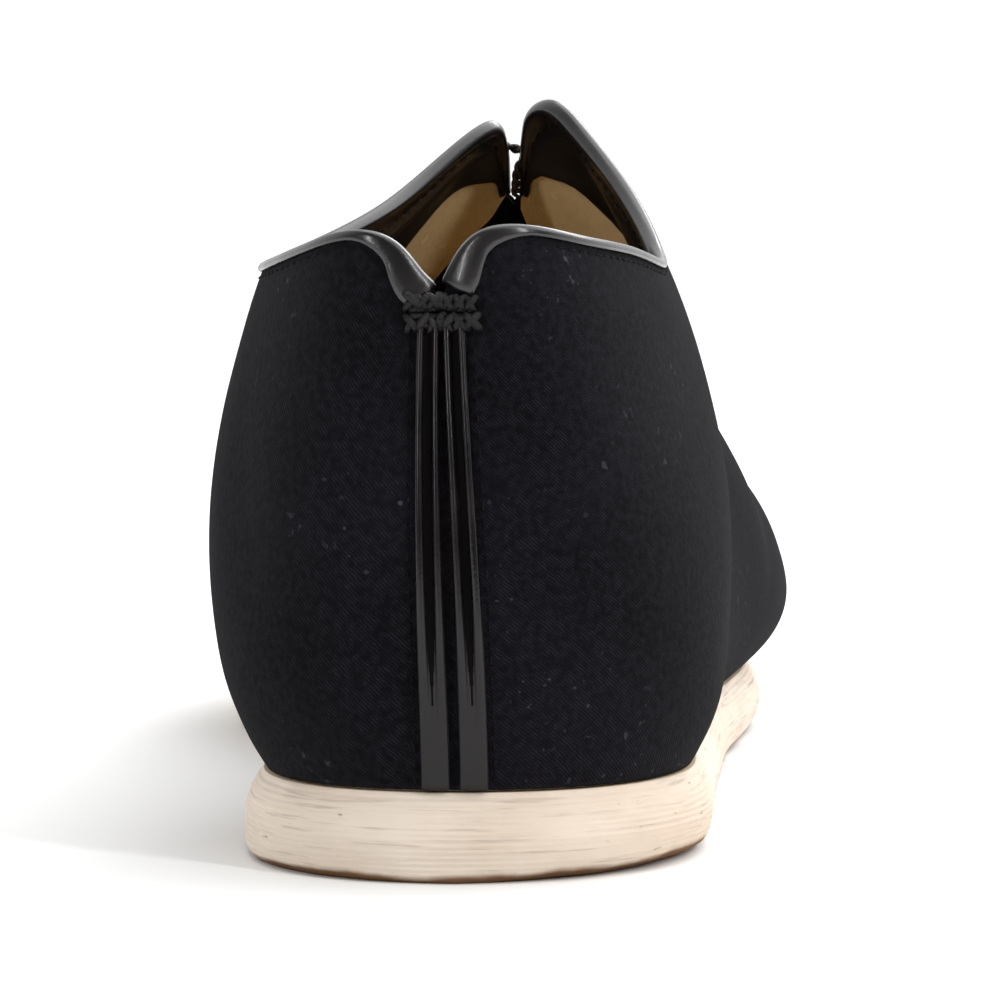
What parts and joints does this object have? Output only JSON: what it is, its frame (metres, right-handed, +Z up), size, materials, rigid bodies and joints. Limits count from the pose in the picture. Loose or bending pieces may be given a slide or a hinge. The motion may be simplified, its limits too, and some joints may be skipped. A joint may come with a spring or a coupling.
{
  "type": "chinese cloth shoe",
  "caption": "Right-foot cloth shoe: hollow two-piece upper with leather-bound collar, back notch, open front slit and seam strips, on a flat layered cloth sole.",
  "frame": {"origin": "point on the floor under the middle of the heel, on the sole's flat underside", "axes": "+Y towards the toe along the shoe's length, +X towards the little-toe side, +Z up"},
  "size_m": [0.0987, 0.281, 0.1087],
  "materials": {
    "upper_cloth": "matte black cotton cloth",
    "binding_leather": "glossy black leather strip",
    "sole_cloth": "layered cloth, painted cream at the edge",
    "insole_cloth": "tan cotton cloth",
    "black_thread": "black waxed thread"
  },
  "bodies": {
    "root": {"upper": "upper_cloth", "sole": "sole_cloth", "insole": "insole_cloth", "collar_binding_lateral": "binding_leather", "collar_binding_medial": "binding_leather", "heel_strip_lateral": "binding_leather", "heel_strip_medial": "binding_leather", "vamp_strip_lateral": "binding_leather", "vamp_strip_medial": "binding_leather", "heel_bartack": "black_thread", "throat_tie": "binding_leather"}
  },
  "joints": []
}
